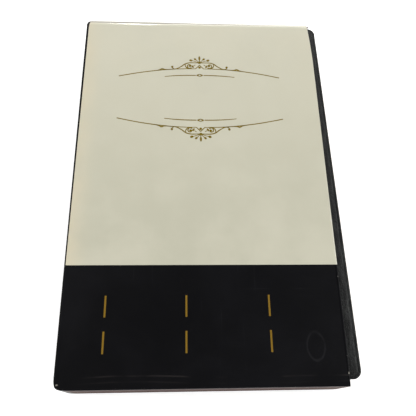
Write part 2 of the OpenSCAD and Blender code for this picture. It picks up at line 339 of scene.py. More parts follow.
def makeBlackPrint():
    shader = Shader("blackPrint", (0.005, 0.005, 0.006), Roughness=0.34, Coat_Roughness=0.14)
    x, y, z = shader.axes()
    tail = -caseSize.y / 2
    onFront = shader.ramp(z, caseSize.z - 0.6 * mm, caseSize.z - 0.3 * mm)
    # a cloudy bluish haze, partly a film on the laminate and partly painted reflection
    hazeAndReflection = shader.ramp(shader.noise(24, 5, 0.65, distortion=0.5), 0.35, 0.8, 0.0, 0.5)
    body = shader.blend(hazeAndReflection, (0.0034, 0.0034, 0.0041), (0.0082, 0.0082, 0.0100))
    # long fine scratches, most of them slanting one way
    slanted = shader.noise(900, 2, 0.5, shader.mapped(scale=(1, 0.018, 1), turn=(0, 0, 38)))
    level = shader.noise(700, 2, 0.5, shader.mapped(scale=(0.012, 1, 1), turn=(0, 0, 4)))
    scratches = shader.math("MAXIMUM", shader.ramp(slanted, 0.70, 0.76), shader.ramp(level, 0.71, 0.78))
    scratches = shader.math("MULTIPLY", scratches, shader.ramp(shader.noise(30, 2), 0.45, 0.65))
    body = shader.blend(shader.math("MULTIPLY", scratches, 0.45), body, (0.030, 0.030, 0.034))
    # a dried ring near the mouth's tail corner
    blot = shader.math("MULTIPLY", shader.math("SUBTRACT", shader.noise(70, 3), 0.5), 0.5)
    ring = around(shader, x, y, (-caseSize.x / 2 + 129 * mm, tail + 19.6 * mm), (4.3 * mm, 7.1 * mm))
    ring = shader.math("ADD", ring, blot)
    rim = shader.math("ABSOLUTE", shader.math("SUBTRACT", ring, 1.0))
    rim = shader.math("SUBTRACT", 1.0, shader.ramp(rim, 0.02, 0.15))
    rim = shader.math("MULTIPLY", rim, shader.ramp(shader.noise(110, 3), 0.35, 0.6, 0.08, 0.42))
    body = shader.blend(rim, body, (0.022, 0.022, 0.024))
    # the crease that runs along the tail edge
    wander = shader.math("MULTIPLY", shader.math("SUBTRACT", shader.noise(16, 2), 0.5), 5 * mm)
    crease = 0.0
    for height, share in ((5.4, 0.55), (2.6, 0.2)):
        line = shader.math("ADD", shader.math("SUBTRACT", y, tail + height * mm), wander)
        near = shader.math("SUBTRACT", 1.0, shader.ramp(shader.math("ABSOLUTE", line), 0.05 * mm, 0.5 * mm))
        crease = shader.math("MULTIPLY_ADD", near, share, crease)
    crease = shader.math("MULTIPLY", crease, shader.ramp(shader.noise(40, 3), 0.42, 0.62, 0.0, 0.6))
    crease = shader.math("MULTIPLY", crease, onFront)
    body = shader.blend(crease, body, (0.050, 0.044, 0.042))
    dust = shader.ramp(shader.noise(2600, 2, 0.5), 0.74, 0.80, 0, 0.35)
    body = shader.blend(dust, body, (0.06, 0.06, 0.06))
    body = shader.blend(edgeWearAndHighlight(shader, x, y, z, 0.8 * mm, 11.0), body, (0.42, 0.40, 0.36))
    for center, radii in (((1.9, 2.6), (0.55, 0.4)), ((144.2, 6.3), (0.35, 0.55))):
        knock = around(shader, x, y, (-caseSize.x / 2 + center[0] * mm, tail + center[1] * mm),
                       (radii[0] * mm, radii[1] * mm))
        torn = shader.math("SUBTRACT", 1.0, shader.ramp(knock, 0.5, 1.3))
        torn = shader.math("MULTIPLY", torn, shader.ramp(shader.noise(900, 3), 0.42, 0.58))
        body = shader.blend(shader.math("MULTIPLY", torn, onFront), body, (0.34, 0.32, 0.28))
    shader.color(body)
    # the laminate is scuffed dull on the two ends and round the mouth's edge
    onEnd = shader.ramp(shader.math("ABSOLUTE", y), caseSize.y / 2 - 0.5 * mm, caseSize.y / 2 - 0.2 * mm)
    onLip = shader.ramp(x, caseSize.x / 2 - 1.9 * mm, caseSize.x / 2 - 1.3 * mm)
    matt = shader.math("MAXIMUM", onEnd, onLip)
    shader.feed(shader.surface.inputs["Coat Weight"], shader.math("MULTIPLY_ADD", matt, -0.13, 0.13))
    shader.feed(shader.surface.inputs["Specular IOR Level"], shader.math("MULTIPLY_ADD", matt, -0.10, 0.15))
    dull = shader.ramp(shader.noise(40, 4), 0.3, 0.7, 0.30, 0.34)
    dull = shader.math("ADD", dull, shader.math("MULTIPLY", scratches, 0.2))
    shader.rough(dull)
    relief = shader.math("ADD", shader.noise(1500, 3), shader.math("MULTIPLY", crease, 6))
    shader.bump(relief, 0.006 * mm, 0.5)
    shader.bump(shader.noise(26, 2, 0.4), 0.1 * mm, 0.1, target="Coat Normal")
    return shader.material


def makePaper(name, base, fleck, roughness=0.85, grain=1200, depth=0.02):
    shader = Shader(name, base, Roughness=roughness, Specular_IOR_Level=0.3)
    cloud = shader.ramp(shader.noise(40, 4, 0.6), 0.3, 0.75)
    tint = [value * 0.88 for value in base]
    body = shader.blend(cloud, base, tint)
    fibre = shader.noise(grain, 5, 0.7, shader.mapped(scale=(1, 0.3, 1), turn=(0, 0, 35)))
    shader.color(shader.blend(shader.ramp(fibre, 0.55, 0.75, 0, 0.5), body, fleck))
    shader.rough(shader.ramp(shader.noise(200, 3), 0.3, 0.7, roughness - 0.06, roughness + 0.06))
    shader.bump(fibre, depth * mm, 0.6)
    return shader.material


def makeEndPaper():
    # painted shade: the end paper's colours are kept darker than the paper itself, as it lies in shade
    shader = Shader("endPaper", (0.13, 0.095, 0.088), Roughness=0.9, Specular_IOR_Level=0.05)
    x, y, z = shader.axes()
    # painted contact shadow: darker towards the floor
    body = shader.blend(shader.ramp(z, 2 * mm, 28 * mm), (0.105, 0.068, 0.062), (0.16, 0.125, 0.118))
    fibre = shader.noise(1500, 5, 0.7, shader.mapped(scale=(0.25, 1, 1)))
    body = shader.blend(shader.ramp(fibre, 0.5, 0.8, 0, 0.4), body, (0.24, 0.20, 0.185))
    scuff = shader.ramp(shader.noise(130, 5, 0.7, shader.mapped(scale=(0.3, 1, 1))), 0.60, 0.76, 0, 0.4)
    body = shader.blend(scuff, body, (0.30, 0.26, 0.235))
    fromMiddle = shader.math("ABSOLUTE", x)
    nearEnds = shader.ramp(fromMiddle, caseSize.x / 2 - 16 * mm, caseSize.x / 2 - 3 * mm, 0, 0.25)
    shader.color(shader.blend(nearEnds, body, (0.30, 0.25, 0.215)))
    shader.bump(fibre, 0.03 * mm, 0.6)
    return shader.material


creamPrint = makeCreamPrint()
blackPrint = makeBlackPrint()
endPaper = makeEndPaper()
greyBoard = makePaper("greyBoard", (0.36, 0.34, 0.31), (0.16, 0.15, 0.14), 0.92, 700, 0.06)
liningPaper = makePaper("liningPaper", (0.74, 0.73, 0.69), (0.60, 0.58, 0.53), 0.88, 1000, 0.02)
print("case materials ready")


# ---------- mesh helpers

def newPiece(name, points, faces, body, materials, faceSlots=None, smooth=True):
    mesh = bpy.data.meshes.new(name)
    mesh.from_pydata([tuple(p) for p in points], [], faces)
    for material in materials:
        mesh.materials.append(material)
    if faceSlots:
        mesh.polygons.foreach_set("material_index", faceSlots)
    piece = bpy.data.objects.new(name, mesh)
    scene.collection.objects.link(piece)
    cleanMesh(mesh)
    if smooth:
        mesh.shade_smooth()
    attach(piece, body)
    return piece


def cleanMesh(mesh, merge=1e-7):
    work = bmesh.new()
    work.from_mesh(mesh)
    bmesh.ops.remove_doubles(work, verts=work.verts, dist=merge)
    bmesh.ops.dissolve_degenerate(work, dist=merge, edges=work.edges)
    bmesh.ops.recalc_face_normals(work, faces=work.faces)
    work.to_mesh(mesh)
    work.free()


def applyModifiers(piece):
    # Turns what the modifiers show into the piece's own mesh
    shown = piece.evaluated_get(bpy.context.evaluated_depsgraph_get())
    mesh = bpy.data.meshes.new_from_object(shown)
    piece.modifiers.clear()
    piece.data = mesh
    return piece


def dress(material, *names):
    for name in names:
        mesh = nodes[name].data
        mesh.materials.clear()
        mesh.materials.append(material)


def sharpEdges(mesh, degrees):
    mesh.shade_smooth()
    work = bmesh.new()
    work.from_mesh(mesh)
    for edge in work.edges:
        if len(edge.link_faces) == 2 and edge.calc_face_angle(0.0) > math.radians(degrees):
            edge.smooth = False
    work.to_mesh(mesh)
    work.free()


def softCopy(name, node, body, material, bevel, shrink=(0.0, 0.0, 0.0), shape=None):
    # A copy of a CAD node with eased edges, drawn in a little where another piece covers it
    mesh = nodes[node].data.copy()
    mesh.name = name
    mesh.materials.clear()
    mesh.materials.append(material)
    work = bmesh.new()
    work.from_mesh(mesh)
    bmesh.ops.remove_doubles(work, verts=work.verts, dist=1e-6)
    flat = math.radians(0.5)
    bmesh.ops.dissolve_limit(work, angle_limit=flat, verts=work.verts, edges=work.edges)
    low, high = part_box(node)
    middle, half = (low + high) / 2, (high - low) / 2
    for vert in work.verts:
        for axis in range(3):
            if half[axis] > shrink[axis]:
                share = (half[axis] - shrink[axis]) / half[axis]
                vert.co[axis] = middle[axis] + (vert.co[axis] - middle[axis]) * share
        if shape:
            vert.co = shape(vert.co)
    work.to_mesh(mesh)
    work.free()
    piece = bpy.data.objects.new(name, mesh)
    scene.collection.objects.link(piece)
    if bevel:
        ease = piece.modifiers.new("ease", "BEVEL")
        ease.width = bevel
        ease.segments = 2
        ease.limit_method = "ANGLE"
        ease.angle_limit = math.radians(40)
        applyModifiers(piece)
    sharpEdges(piece.data, 35)
    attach(piece, body)
    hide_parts(node)
    return piece


# ---------- the printed wrap of the case

def worn(point):
    # Wear in the case's shape: the knocked tail corner, and the mouth edge that falls back at its ends
    u, v = point.x - wrapLow.x, point.y - wrapLow.y
    depth = min(1.0, max(0.0, (point.z - wrapLow.z) / caseSize.z))
    near = max(0.0, 1.0 - (u + v) / (6 * mm))
    push = 1.05 * mm * near * near * (0.35 + 0.65 * depth)
    toHead = max(0.0, (v - caseSize.y + 34 * mm) / (34 * mm))
    toTail = max(0.0, (22 * mm - v) / (22 * mm))
    bow = frontPanel["headBow"] * toHead ** 2 + frontPanel["tailBow"] * toTail ** 2
    toMouth = max(0.0, (u - caseSize.x + 11 * mm) / (11 * mm))
    back = bow * toMouth ** 2 * depth ** 3
    return Vector((point.x + push - back, point.y + push * 0.9, point.z))


def frontDip(u, v):
    # How far the front panel lies below the case's full height at a place on it
    across = math.sin(math.pi * min(1.0, max(0.0, u / caseSize.x)))
    along = math.sin(math.pi * min(1.0, max(0.0, v / caseSize.y)))
    ripple = noise.noise(Vector((u * 28, v * 21, 3.7)))
    roll = max(0.0, v - caseSize.y + caseShape["rollReach"]) / caseShape["rollReach"]
    roll = caseShape["headRoll"] * roll * roll * (1.05 - 0.45 * u / caseSize.x)
    return caseShape["sag"] * across * along * (0.75 + 0.25 * ripple) + caseShape["foil"] + roll


def cornerTrim(distance, radius):
    # How far a round corner cuts in, this far from the straight edge
    if distance >= radius:
        return 0.0
    return radius - math.sqrt(max(0.0, radius * radius - (radius - distance) ** 2))


def spread(low, high, count):
    return [low + (high - low) * k / count for k in range(1, count + 1)]


def wrapRows():
    # Places along the case's height where the front panel has a line of points
    edge, corner = caseShape["edgeRadius"], 7 * mm
    band, top = frontPanel["bandTop"], caseSize.y - 7 * mm
    close = [edge] + [value * mm for value in (0.8, 1.3, 1.9, 2.6, 3.4, 4.4, 5.6)]
    return close + [corner] + spread(corner, band, 14) + spread(band, top, 40) \
        + [caseSize.y - v for v in reversed(close)]


def wrapColumn(v):
    # Places across the front panel at one height; the third follows the black strip's edge
    edge, far = caseShape["edgeRadius"], caseSize.x
    share = v / caseSize.y
    strip = frontPanel["stripTail"] * (1 - share) + frontPanel["stripHead"] * share
    strip += 1.1 * mm * max(0.0, 1 - (caseSize.y - v) / (6 * mm)) ** 2
    near = [edge, edge + (strip - edge) * 0.3, strip]
    near += [strip + value * mm for value in (0.18, 0.42, 0.8, 1.3, 2.0, 3.0)]
    near += [6.5 * mm] + spread(6.5 * mm, far - 3 * mm, 34)
    return near + [far - 2.2 * mm, far - 1.5 * mm, far - caseShape["wall"] * 0.55]


stripColumn = 2


def makeWrap():
    rows = wrapRows()
    edge, height = caseShape["edgeRadius"], caseSize.z
    headRadius, tailRadius = caseShape["headCorner"] - edge, caseShape["tailCorner"] - edge
    points, faces, slots = [], [], []
    bandRow = rows.index(min(rows, key=lambda v: abs(v - frontPanel["bandTop"])))
    lastI, lastJ = len(wrapColumn(0)) - 1, len(rows) - 1

    def gridPoint(i, j):
        v = rows[j]
        u = wrapColumn(v)[i]
        fade = 6.6 * mm
        fromTail, fromHead = v - edge, caseSize.y - edge - v
        v += cornerTrim(u - edge, tailRadius) * max(0.0, 1 - fromTail / fade)
        v -= cornerTrim(u - edge, headRadius) * max(0.0, 1 - fromHead / fade)
        return u, v

    def add(u, v, z):
        points.append(worn(Vector((wrapLow.x + u, wrapLow.y + v, wrapLow.z + z))))
        return len(points) - 1

    front, back = {}, {}
    for i in range(lastI + 1):
        for j in range(lastJ + 1):
            u, v = gridPoint(i, j)
            front[i, j] = add(u, v, height - frontDip(u, v))
            back[i, j] = add(u, v, 0)
    for i in range(lastI):
        for j in range(lastJ):
            faces.append((front[i, j], front[i + 1, j], front[i + 1, j + 1], front[i, j + 1]))
            slots.append(0 if i >= stripColumn and j >= bandRow else 1)
            faces.append((back[i, j], back[i, j + 1], back[i + 1, j + 1], back[i + 1, j]))
            slots.append(1)

    # the sides: lines that follow the panel's outline, from the back up to the front
    path = [(i, 0) for i in range(lastI, -1, -1)]
    path += [(0, j) for j in range(1, lastJ + 1)]
    path += [(i, lastJ) for i in range(1, lastI + 1)]
    headStart = lastI + lastJ

    def outward(i, j):
        u, v = gridPoint(i, j)
        for radius, low, sign in ((tailRadius, v, 1), (headRadius, caseSize.y - v, -1)):
            center = edge + radius
            if u < center and low < center:
                return Vector((u - center, (low - center) * sign)).normalized()
        if i == 0:
            return Vector((-1, 0))
        return Vector((0, -1 if j == 0 else 1))

    bends = [math.radians(a) for a in (22.5, 45, 67.5, 90)]
    arc = [(edge * math.sin(a), edge * (1 - math.cos(a))) for a in bends]
    turn = caseShape["endTurn"]
    straight = [turn, 5 * mm, 10 * mm, height / 2, height - 10 * mm, height - 5 * mm, height - turn]
    levels = [(out, z, False) for out, z in arc] + [(edge, z, False) for z in straight]
    levels += [(out, z, True) for out, z in reversed(arc)]
    turnLow, turnHigh = len(arc) + 1, len(arc) + len(straight)
    lines = [[back[p] for p in path]]
    for out, z, hangs in levels:
        line = []
        for p in path:
            u, v = gridPoint(*p)
            away = outward(*p) * out
            line.append(add(u + away.x, v + away.y, height - frontDip(u, v) - z if hangs else z))
        lines.append(line)
    lines.append([front[p] for p in path])
    sideTurn = caseShape["sideTurn"]
    for k in range(len(lines) - 1):
        for n in range(len(path) - 1):
            start, end = gridPoint(*path[n]), gridPoint(*path[n + 1])
            onEnd = path[n][1] == path[n + 1][1]
            paperShows = onEnd and min(start[0], end[0]) > sideTurn and turnLow <= k < turnHigh
            if paperShows:              # the end paper is seen here
                continue
            faces.append((lines[k][n], lines[k][n + 1], lines[k + 1][n + 1], lines[k + 1][n]))
            slots.append(0 if n > headStart + stripColumn and k >= turnHigh else 1)

    # the mouth: round the boards' edge and back inside
    loop = [front[lastI, j] for j in range(lastJ, -1, -1)]
    loop += [line[0] for line in reversed(lines[1:-1])]
    loop += [back[lastI, j] for j in range(lastJ + 1)]
    loop += [line[-1] for line in lines[1:-1]]
    wall = caseShape["wall"]
    lip = wall * 0.55
    angles = [math.radians(a) for a in (15, 35, 55, 75, 90, 110, 130, 155, 180)]
    stations = [(caseSize.x - lip + lip * 0.98 * math.sin(a), (1 - math.cos(a)) / 2) for a in angles]
    stations += [(caseSize.x - u, 1.0) for u in (4 * mm, 8 * mm, caseShape["mouthTurn"])]
    previous = loop
    for u, share in stations:
        ring = []
        for source in loop:
            outer = points[source]
            y = min(max(outer.y, wrapLow.y + wall), wrapHigh.y - wall)
            z = min(max(outer.z, wrapLow.z + wall), wrapHigh.z - wall)
            place = outer.lerp(Vector((outer.x, y, z)), share)
            bare = Vector((wrapLow.x + u, outer.y, outer.z))
            points.append(Vector((worn(bare).x, place.y, place.z)))
            ring.append(len(points) - 1)
        for n in range(len(loop)):
            m = (n + 1) % len(loop)
            faces.append((previous[n], previous[m], ring[m], ring[n]))
            middle = (points[loop[n]] + points[loop[m]]) / 2 - wrapLow
            slots.append(0 if middle.y > frontPanel["bandTop"] and middle.z > height - turn else 1)
        previous = ring

    prints = [creamPrint, blackPrint]
    piece = newPiece("printed_wrap", points, faces, "slipcase", prints, slots)
    thick = piece.modifiers.new("paper", "SOLIDIFY")
    thick.thickness = caseShape["paper"] * 0.8
    thick.offset = -1
    applyModifiers(piece)
    sharpEdges(piece.data, 50)
    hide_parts("wrap_front", "wrap_back", "wrap_side", "wrap_head_turns", "wrap_tail_turns",
                "wrap_mouth_turn")


makeWrap()
for part in ("front", "back"):
    softCopy("board_" + part + "_eased", "board_" + part, "slipcase", greyBoard, 0.4 * mm,
             (0.6 * mm, 0.6 * mm, 0.12 * mm), worn)
for part in ("head", "tail"):
    softCopy("board_" + part + "_eased", "board_" + part, "slipcase", greyBoard, 0.15 * mm,
             (0.6 * mm, 0.1 * mm, 0.1 * mm), worn)
softCopy("board_side_eased", "board_side", "slipcase", greyBoard, 0.15 * mm,
         (0.1 * mm, 0.6 * mm, 0.1 * mm), worn)
for part in ("head", "tail"):
    softCopy("end_paper_" + part + "_sheet", "end_paper_" + part, "slipcase", endPaper, 0.0)
dress(liningPaper, *["lining_" + part for part in ("front", "side", "back", "head", "tail")])
print("case ready")


# ---------- printed foil: the ornament and the six rules

def makeFoil():
    # darker bronze high on the cream, brighter gold on the black band
    shader = Shader("goldPrint", (0.2, 0.12, 0.02), Roughness=0.5, Specular_IOR_Level=0.12,
                    Coat_Weight=0.08, Coat_Roughness=0.12)
    x, y, z = shader.axes()
    low = shader.ramp(y, -0.03, -0.05)
    shade = shader.blend(low, (0.175, 0.122, 0.004), (0.215, 0.125, 0.016))
    patchy = shader.ramp(shader.noise(900, 4, 0.6), 0.35, 0.75, 0, 0.3)
    shader.color(shader.blend(patchy, shade, (0.20, 0.14, 0.012)))
    shader.rough(shader.ramp(shader.noise(500, 3), 0.3, 0.7, 0.34, 0.52))
    shader.bump(shader.noise(3000, 2), 0.004 * mm, 0.5)
    return shader.material


goldPrint = makeFoil()
ornament = {
    "center": (72.35 * mm, 167.5 * mm),
    "tilt": 0.27,                       # degrees, the print sits a little crooked
    "weight": 1.24,
    "foilThick": 0.02 * mm,
}
rules = {
    "across": (22.54 * mm, 63.84 * mm, 106.63 * mm),
    "spans": ((34.55 * mm, 45.6 * mm), (16.7 * mm, 27.55 * mm)),
    "width": 0.95 * mm,
}


def curvePoints(controls, steps=10):
    # A smooth line through the given points
    ends = [controls[0]] + list(controls) + [controls[-1]]
    made = []
    for k in range(len(controls) - 1):
        a, b, c, d = (Vector(p) for p in ends[k:k + 4])
        for s in range(steps):
            t = s / steps
            made.append(0.5 * (2 * b + (c - a) * t + (2 * a - 5 * b + 4 * c - d) * t * t
                               + (3 * b - a - 3 * c + d) * t ** 3))
    made.append(Vector(controls[-1]))
    return made


def spiralPoints(center, startAngle, turns, startRadius, endRadius, steps=26):
    made = []
    for s in range(steps + 1):
        t = s / steps
        angle = math.radians(startAngle) + turns * 2 * math.pi * t
        radius = startRadius + (endRadius - startRadius) * t
        made.append(Vector((center[0] + radius * math.cos(angle), center[1] + radius * math.sin(angle))))
    return made


class FoilSheet:
    # Gathers flat printed shapes, in millimetres from a centre, into one thin mesh
    def __init__(self, center, mirror=(1, 1), tilt=0.0, weight=1.0):
        self.center = center
        self.mirror = mirror
        self.tilt = math.radians(tilt)
        self.weight = weight
        self.points = []
        self.faces = []

    def place(self, x, y, raised):
        x, y = x * mm * self.mirror[0], y * mm * self.mirror[1]
        u = self.center[0] + x * math.cos(self.tilt) - y * math.sin(self.tilt)
        v = self.center[1] + x * math.sin(self.tilt) + y * math.cos(self.tilt)
        top = caseSize.z - frontDip(u, v)
        lift = ornament["foilThick"] if raised else -0.01 * mm
        self.points.append((wrapLow.x + u, wrapLow.y + v, top + lift))
        return len(self.points) - 1

    def shape(self, outline):
        # A closed outline as a thin tile
        top = [self.place(x, y, True) for x, y in outline]
        low = [self.place(x, y, False) for x, y in outline]
        self.faces.append(tuple(top))
        self.faces.append(tuple(reversed(low)))
        for k in range(len(outline)):
            n = (k + 1) % len(outline)
            self.faces.append((top[k], low[k], low[n], top[n]))

    def stroke(self, line, widths):
        # A line with a width at each end and one in the middle
        rows = []
        for k, point in enumerate(line):
            t = k / (len(line) - 1)
            before, after = line[max(0, k - 1)], line[min(len(line) - 1, k + 1)]
            along = (after - before).normalized()
            side = Vector((-along.y, along.x))
            low, middle, high = [width * self.weight for width in widths]
            width = low + (middle - low) * t * 2 if t < 0.5 else middle + (high - middle) * (t * 2 - 1)
            left, right = point + side * width / 2, point - side * width / 2
            rows.append([self.place(left.x, left.y, True), self.place(right.x, right.y, True),
                         self.place(right.x, right.y, False), self.place(left.x, left.y, False)])
        for first, second in zip(rows, rows[1:]):
            for k in range(4):
                n = (k + 1) % 4
                self.faces.append((first[k], second[k], second[n], first[n]))
        self.faces.append(tuple(rows[0]))
        self.faces.append(tuple(reversed(rows[-1])))

    def dot(self, x, y, across, along=None, turn=0.0, sides=14):
        along = along or across
        angle = math.radians(turn)
        outline = []
        for k in range(sides):
            a = 2 * math.pi * k / sides
            px, py = across * math.cos(a), along * math.sin(a)
            outline.append((x + px * math.cos(angle) - py * math.sin(angle),
                            y + px * math.sin(angle) + py * math.cos(angle)))
        self.shape(outline)


def drawHalf(sheet):
    # One quarter of the ornament: x out from the middle, y up from the mirror line
    thin, line = 0.34, 0.5
    bow = [(49.8, 15.1), (38, 17.7), (26.7, 19.6), (17, 20.7), (9, 21.15), (2.4, 21.2)]
    sheet.stroke(curvePoints(bow, 8), (line, line, thin))
    crest = [(27.4, 19.5), (25.0, 20.15), (23.3, 20.95), (21.6, 20.5), (19.0, 20.5)]
    sheet.stroke(curvePoints(crest), (0.3, 0.7, 0.4))
    sheet.dot(17.05, 22.55, 0.72, 0.82, -15)
    sheet.stroke(curvePoints([(17.2, 22.3), (16.8, 21.5), (15.7, 21.0)], 6), (0.45, 0.42, 0.4))
    shoulder = [(18.6, 20.6), (14.6, 21.1), (11.4, 22.9), (8.9, 24.9), (6.4, 25.75), (3.2, 25.85),
                (0.6, 25.7)]
    sheet.stroke(curvePoints(shoulder), (0.4, 0.62, 0.4))
    hook = [(8.9, 24.9), (8.85, 23.3), (8.0, 22.0), (6.5, 21.55), (5.0, 22.0)]
    sheet.stroke(curvePoints(hook), (0.4, 0.55, 0.6))
    sheet.stroke(spiralPoints((6.2, 23.35), -60, 0.9, 1.6, 0.5), (0.55, 0.45, 0.4))
    sheet.dot(6.15, 23.45, 0.66)
    sheet.dot(4.3, 22.9, 0.6, 1.1, -32)
    sheet.stroke([Vector((3.7, 23.5)), Vector((2.5, 24.3))], (0.4, 0.36, 0.3))
    sheet.stroke([Vector((0.0, 24.1)), Vector((1.2, 22.6)), Vector((2.6, 21.2))], (0.4, 0.48, 0.4))
    sheet.stroke([Vector((0.6, 26.0)), Vector((2.8, 26.9)), Vector((4.9, 27.55))], (0.36, 0.34, 0.3))
    sheet.dot(5.35, 27.65, 1.05, 0.78, 20)
    sheet.stroke([Vector((0.4, 26.3)), Vector((2.2, 28.1))], (0.34, 0.3, 0.3))
    sheet.dot(2.7, 28.6, 0.9, 0.66, 45)
    sheet.stroke(curvePoints([(21.7, 15.1), (16, 15.75), (9, 16.15), (2.4, 16.25)], 8), (thin, line, line))


def drawMiddle(sheet):
    sheet.dot(0, 25.8, 0.95, 0.85, 0, 8)
    sheet.stroke([Vector((0, 26.2)), Vector((0, 28.0))], (0.5, 0.4, 0.3))
    sheet.dot(0, 29.3, 0.62, 1.7)
    sheet.dot(0, 22.2, 0.78, 0.85)
    outer = [(-1.95, 16.3), (0, 15.5), (1.95, 16.3), (0, 17.1)]
    for k in range(4):                   # the diamond is open in the middle
        a, b = Vector(outer[k]), Vector(outer[(k + 1) % 4])
        sheet.stroke([a, (a + b) / 2, b], (0.42, 0.6, 0.42))


def makeOrnament(name, vertical):
    points, faces = [], []
    for side in (1, -1, 0):
        sheet = FoilSheet(ornament["center"], (side or 1, vertical), ornament["tilt"], ornament["weight"])
        if side:
            drawHalf(sheet)
        else:
            drawMiddle(sheet)
        start = len(points)
        points += sheet.points
        faces += [tuple(k + start for k in face) for face in sheet.faces]
    newPiece(name, points, faces, "slipcase", [goldPrint], smooth=False)


def makeRules():
    sheet = FoilSheet((0, 0))
    half = rules["width"] / 2 / mm
    for u in rules["across"]:
        for low, high in rules["spans"]:
            x, steps = u / mm, 8
            line = [Vector((x, (low + (high - low) * k / steps) / mm)) for k in range(steps + 1)]
            sheet.stroke(line, (half * 2, half * 2, half * 2))
    newPiece("gold_rules", sheet.points, sheet.faces, "slipcase", [goldPrint], smooth=False)


makeOrnament("ornament_upper", 1)
makeOrnament("ornament_lower", -1)
makeRules()
print("foil ready")


# ---------- the bible's own frame

bibleFit = {
    "lean": 0.7,                        # degrees
    "spineRound": 4.0 * mm,
}
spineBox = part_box("spine_vinyl")
lean = math.radians(bibleFit["lean"])
coverHeight = (spineBox[1].y - spineBox[0].y - bibleFit["spineRound"] * math.sin(lean)) / math.cos(lean)
bibleThick = spineBox[1].z - spineBox[0].z
bibleOrigin = Vector((spineBox[1].x - bibleFit["spineRound"] * math.cos(lean), spineBox[0].y,
                      (spineBox[0].z + spineBox[1].z) / 2))
toCase = Matrix.Translation(bibleOrigin) @ Matrix.Rotation(lean, 4, "Z")
toBible = toCase.inverted()
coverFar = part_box("cover_front_vinyl")[1].x      # the fore edge at its tail corner
bible = {
    "height": coverHeight,
    "thick": bibleThick,
    "cornerRadius": 4.5 * mm,
    "hinge": bibleFit["spineRound"],
}
cornerReach = bible["cornerRadius"] * (math.sin(lean) + math.cos(lean) - 1)
bible["width"] = (coverFar - bibleOrigin.x + cornerReach) / math.cos(lean)
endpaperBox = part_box("endpaper_front")
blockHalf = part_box("pages_12")[1].z - bibleOrigin.z
insideHalf = endpaperBox[1].z - bibleOrigin.z
print("bible %.1f x %.1f x %.1f mm" % (bible["width"] / mm, bible["height"] / mm, bible["thick"] / mm))


# ---------- materials of the bible

def makeCoverVinyl():
    shader = Shader("coverVinyl", (0.012, 0.013, 0.013), Roughness=0.5, Specular_IOR_Level=0.22)
    # pebbles drawn out along one slant
    slant = shader.mapped(scale=(1.0, 0.42, 1.0), turn=(0, 0, -38))
    pebbles = shader.cells(1250, "DISTANCE_TO_EDGE", slant)
    coarse = shader.cells(700, "SMOOTH_F1", slant)
    creases = shader.ramp(pebbles, 0.0, 0.14)
    streaks = shader.noise(520, 3, 0.6, shader.mapped(scale=(1.0, 0.2, 1.0), turn=(0, 0, -38)))
    pearl = shader.ramp(streaks, 0.40, 0.60)
    body = shader.blend(pearl, (0.0030, 0.0034, 0.0033), (0.0210, 0.0225, 0.0215))
    # the grooves between the pebbles are painted darker: painted shade
    shader.color(shader.blend(creases, (0.003, 0.003, 0.0035), body))
    shader.rough(shader.ramp(shader.noise(260, 3), 0.3, 0.7, 0.42, 0.60))
    relief = shader.math("ADD", creases, shader.math("MULTIPLY", coarse, 0.8))
    relief = shader.math("ADD", relief, shader.math("MULTIPLY", streaks, 1.2))
    shader.bump(relief, 0.16 * mm, 0.9)
    return shader.material


def makeInnerVinyl():
    shader = Shader("innerVinyl", (0.016, 0.016, 0.017), Roughness=0.55, Specular_IOR_Level=0.35)
    weave = shader.cells(1500, "DISTANCE_TO_EDGE")
    # the cells' edges, where the grooves lie, are painted darker: painted shade
    shader.color(shader.blend(shader.ramp(weave, 0, 0.2), (0.010, 0.010, 0.011), (0.018, 0.018, 0.019)))
    shader.rough(shader.ramp(shader.noise(120, 3), 0.3, 0.7, 0.48, 0.62))
    shader.bump(weave, 0.03 * mm, 0.5)
    return shader.material


def makeGilt():
    shader = Shader("giltEdge", (0.78, 0.54, 0.19), Roughness=0.3, Metallic=0.9)
    leaves = shader.noise(1, 2, 0.5, shader.mapped(scale=(60, 60, 9000)))
    broad = shader.noise(1, 3, 0.6, shader.mapped(scale=(25, 25, 1400)))
    lines = shader.math("MULTIPLY_ADD", leaves, 0.6, shader.math("MULTIPLY", broad, 0.4))
    body = shader.blend(shader.ramp(lines, 0.36, 0.64), (0.46, 0.28, 0.075), (0.86, 0.62, 0.25))
    rubbed = shader.ramp(shader.noise(220, 5, 0.7, shader.mapped(scale=(1, 1, 6))), 0.62, 0.76, 0, 0.5)
    shader.color(shader.blend(rubbed, body, (0.80, 0.70, 0.48)))
    shader.rough(shader.ramp(lines, 0.3, 0.7, 0.26, 0.44))
    shader.bump(lines, 0.05 * mm, 0.7)
    return shader.material


def makePagePaper():
    shader = Shader("pagePaper", (0.80, 0.775, 0.70), Roughness=0.82, Specular_IOR_Level=0.25,
                    Subsurface_Weight=0.05)
    leaves = shader.noise(1, 2, 0.5, shader.mapped(scale=(80, 80, 10000)))
    shader.color(shader.blend(shader.ramp(leaves, 0.3, 0.75), (0.66, 0.63, 0.55), (0.83, 0.81, 0.74)))
    shader.bump(leaves, 0.03 * mm, 0.5)
    return shader.material


def makeWoven(name, first, second, scale, turn=0.0, roughness=0.6, depth=0.04):
    shader = Shader(name, first, Roughness=roughness, Sheen_Weight=0.25)
    place = shader.mapped(turn=(0, 0, turn))
    split = shader.node("SeparateXYZ", Vector=place)
    over = shader.math("SINE", shader.math("MULTIPLY", split.outputs["X"], scale))
    under = shader.math("SINE", shader.math("MULTIPLY", split.outputs["Y"], scale))
    weave = shader.math("MULTIPLY", over, under)
    shade = shader.ramp(weave, -0.8, 0.8)
    shader.color(shader.blend(shade, first, second))
    shader.bump(weave, depth * mm, 0.6)
    return shader.material


